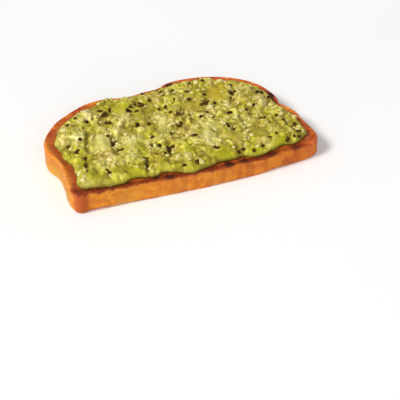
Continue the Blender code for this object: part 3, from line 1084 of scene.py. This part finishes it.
def avocado_material():
    depth = {"Subsurface_Weight": 0.12, "Subsurface_Scale": 1.0 * MM, "Subsurface_Radius": (1.0, 0.9, 0.2)}
    paint = Paint("mashed_avocado", Specular_IOR_Level=0.32, **depth)
    edge, hollow_shade, ridge, chunk, stroke = map(paint.mark, ("edge", "hollow_shade", "ridge", "tone", "stroke"))
    lime, mint, cream, olive, gold = map(paint.mark, TINTS)
    broad = paint.noise(9 * MM, 3.0, 0.55, (1.2, 0.65, 1), (1, 4, 0))
    mottle = paint.noise(2.9 * MM, 4.0, 0.62, (1.15, 0.8, 1), distortion=0.6)
    fine = paint.noise(0.9 * MM, 4.0, 0.7, shift=(7, 7, 7))
    noises = ((broad, 0.34), (mottle, 0.24), (fine, 0.05))
    # ridges are painted paler and the knife's furrows darker: painted light and shade
    tone = paint.total(*noises, (chunk, 0.26), (ridge, 0.2), (stroke, 0.07))
    greens = ((0.36, 124, 104, 12), (0.45, 168, 152, 34), (0.55, 206, 193, 68), (0.69, 250, 238, 146))
    mash = paint.ramp(tone, *greens)
    bright = paint.ramp(tone, (0.36, 144, 138, 2), (0.64, 214, 212, 34))
    green = paint.ramp(tone, (0.36, 168, 160, 62), (0.5, 212, 206, 116), (0.64, 248, 245, 172))
    tan = paint.ramp(tone, (0.36, 168, 144, 56), (0.5, 216, 194, 112), (0.64, 254, 238, 176))
    dull = paint.ramp(tone, (0.36, 128, 109, 10), (0.64, 197, 182, 54))
    yellow = paint.ramp(tone, (0.36, 170, 142, 14), (0.62, 220, 190, 48))
    uneven = paint.math("ADD", paint.times(mottle, 0.8), 0.6)
    # slow and quick changes of hue between brownish and fresh green
    hue = paint.noise(7 * MM, 2.0, 0.5, shift=(3, 8, 1))
    speck = paint.noise(2.4 * MM, 2.0, 0.5, shift=(6, 1, 3))
    changes = ((hue, 0.6, (0.34, 0.5, 0.5, 0.66)), (speck, 0.5, (0.36, 0.48, 0.52, 0.64)))
    for change, most, (a, b, c, d) in changes:
        mash = paint.mix(paint.ramp(change, (c, 0.0), (d, most)), mash, tan)
        mash = paint.mix(paint.ramp(change, (a, most), (b, 0.0)), mash, bright)
    fresh = paint.math("MAXIMUM", lime, paint.times(edge, 0.45))
    for patch, tint in ((cream, tan), (olive, dull), (mint, green), (fresh, bright), (gold, yellow)):
        mash = paint.mix(paint.times(patch, uneven, clamp=True), mash, tint)
    # painted shade in the hollows, in the dark seeds' dents and at the foot of the edge
    painted_shade = paint.ramp(hollow_shade, (0.1, 0.0), (0.9, 0.88))
    mash = paint.mix(painted_shade, mash, (104, 84, 8))
    normal = paint.bump(paint.noise(0.8 * MM, 4.0, 0.65), 0.3 * MM, 0.36)
    shine = paint.ramp(fine, (0.35, 0.42), (0.65, 0.62))
    return paint.finish(Base_Color=mash, Roughness=shine, Normal=normal)


def seed_material(name, roughness, dark, pale, specular=0.3):
    paint = Paint(name, Specular_IOR_Level=specular)
    tone = paint.total((paint.mark("tone"), 0.7), (paint.noise(0.9 * MM), 0.3))
    colour = paint.ramp(tone, (0.1, *dark), (0.85, *pale))
    normal = paint.bump(paint.noise(0.3 * MM, 3.0), 0.1 * MM, 0.4)
    shine = paint.ramp(tone, (0.0, roughness), (1.0, roughness + 0.12))
    return paint.finish(Base_Color=colour, Roughness=shine, Normal=normal)


def salt_material():
    paint = Paint("salt", IOR=1.54)
    tone = paint.noise(0.5 * MM)
    colour = paint.ramp(tone, (0.3, 200, 192, 156), (0.7, 220, 213, 182))
    return paint.finish(Base_Color=colour, Roughness=paint.ramp(tone, (0.3, 0.3), (0.7, 0.5)))


# ---- studio


def make_floor():
    bpy.ops.mesh.primitive_plane_add(size=FLOOR_SIZE)
    floor = bpy.context.object
    floor.name = "floor"
    paint = Paint("pale_floor")
    tone = paint.noise(0.4, 2.0)
    colour = paint.ramp(tone, (0.3, 250, 250, 250), (0.7, 254, 254, 254))
    roughness = paint.ramp(tone, (0, 0.6), (1, 0.7))
    floor.data.materials.append(paint.finish(Base_Color=colour, Roughness=roughness))


def direction(azimuth, elevation):
    """The direction from the toast at this azimuth, from -Y towards +X, and at this elevation."""
    flat = Vector((math.sin(azimuth), -math.cos(azimuth), 0)) * math.cos(elevation)
    return flat + UP * math.sin(elevation)


def aim(obj, away, distance, target=Vector((0, 0, 0))):
    """Puts a light or camera at a distance from the target, facing it."""
    obj.location = target + away * distance
    obj.rotation_euler = away.to_track_quat("Z", "Y").to_euler()
    bpy.context.scene.collection.objects.link(obj)


def make_studio():
    make_floor()
    for name, (azimuth, elevation, distance, size, power, colour) in LIGHTS.items():
        light = bpy.data.lights.new(name, "AREA")
        light.size = size
        light.energy = power
        light.color = colour
        away = direction(math.radians(azimuth), math.radians(elevation))
        aim(bpy.data.objects.new(name, light), away, distance)
    world = bpy.data.worlds.new("studio")
    world.use_nodes = True
    background = world.node_tree.nodes["Background"]
    background.inputs["Color"].default_value = (1, 1, 1, 1)
    background.inputs["Strength"].default_value = WORLD_STRENGTH
    bpy.context.scene.world = world
    bpy.context.scene.view_settings.view_transform = "Standard"


def make_camera():
    back = direction(CAMERA_AZIMUTH, CAMERA_ELEVATION)
    right = Vector((math.cos(CAMERA_AZIMUTH), math.sin(CAMERA_AZIMUTH), 0))
    camera = bpy.data.objects.new("camera", bpy.data.cameras.new("camera"))
    camera.data.lens = CAMERA_LENS
    camera.data.clip_start = 0.01
    aim(camera, back, CAMERA_DISTANCE, right * TARGET_RIGHT + back.cross(right) * TARGET_UP)
    bpy.context.scene.camera = camera


# ---- all together


def dress(piece, slot, material, *nodes):
    """Gives a piece its material and ties it to the frame."""
    piece.data.materials.append(material)
    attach(piece, "root")
    if nodes:
        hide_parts(*nodes)
    return piece


def make_seasoning(spread, outline):
    place = Scatter(spread, outline, 5)

    def sesame(size):
        def make(rnd):
            scale = MM * rnd.uniform(0.85, 1.12)
            length, width, thickness = (side * scale for side in size)
            return (*teardrop(length, width, thickness), thickness)
        return make

    def poppy(rnd):
        size = POPPY_SIZE * MM * rnd.uniform(0.8, 1.15)
        return (*pebble(size, rnd.uniform(0, 50), 0.85, 0.12, 1), size)

    def garlic(rnd):
        size = MM * rnd.triangular(*GARLIC_SIZES)
        return (*pebble(size, rnd.uniform(0, 50), 0.5, 0.3, 2), size * 0.5)

    def grain(rnd):
        size = MM * rnd.uniform(*SALT_SIZES)
        return (*pebble(size, rnd.uniform(0, 50), 0.8, 0.35, 1), size * 0.8)

    def anywhere(p):
        patchy = 0.25 + 0.75 * smooth_step(-0.4, 0.5, fractal(p, 12 * MM, 2, 41.0))
        return patchy * (1 - 0.85 * smear(p)) * (1 - 0.6 * strongest(p, LIME))

    def dark_spots(p):
        return 1 - 0.7 * smear(p)

    def strew(name, slot, material, *how):
        dress(place.scatter(name, *how), slot, material)

    places = [Vector((x, y)) * MM for x, y, count in DARK_SEEDS for _ in range(count)]
    dark = seed_material("black_sesame", 0.6, (32, 18, 2), (86, 58, 14), 0.15)
    count = len(places) + MORE_BLACK_SESAME
    make = sesame(BLACK_SESAME_SIZE)
    strew("black_sesame", "dark_sesame", dark, count, make, dark_spots, 1.3 * MM, 0.35, places)
    pale = seed_material("white_sesame", 0.6, (186, 172, 86), (220, 208, 136))
    make = sesame(WHITE_SESAME_SIZE)
    strew("white_sesame", "white_sesame", pale, WHITE_SESAME_COUNT, make, anywhere, 1.5 * MM, 0.54)
    dusky = seed_material("poppy_seeds", 0.65, (46, 34, 10), (104, 82, 36), 0.15)
    strew("poppy_seeds", "poppy_seed", dusky, POPPY_COUNT, poppy, dark_spots, 0.8 * MM, 0.4)
    dried = seed_material("garlic_flakes", 0.65, (186, 172, 84), (224, 214, 144))
    strew("garlic_flakes", "dried_garlic", dried, GARLIC_COUNT, garlic, anywhere, 1.3 * MM, 0.5)
    strew("salt_grains", "salt", salt_material(), SALT_COUNT, grain, anywhere, 0.8 * MM, 0.3)


def main():
    bread_tree = tree_of(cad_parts["bread_slice"])
    spread_tree = tree_of(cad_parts["avocado_spread"])
    crumb = crumb_plane(bread_tree)
    bread_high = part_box("bread_slice")[1]
    bread_outline = scanned_outline(bread_tree, lambda p: bread_high.z * BREAD_SCAN_SHARE, TOAST_STEP)
    spread_outline = scanned_outline(spread_tree, lambda p: crumb(p) + SPREAD_SCAN_HEIGHT, SPREAD_STEP)
    spread_outline = waved(spread_outline)

    toast = make_toast(bread_outline, spread_outline, crumb)
    dress(toast, "toasted_bread", toast_material(), "bread_slice")
    spread = make_spread(spread_outline, crumb, spread_tree)
    dress(spread, "mashed_avocado", avocado_material(), "avocado_spread")
    make_seasoning(spread, spread_outline)
    make_studio()
    make_camera()


main()
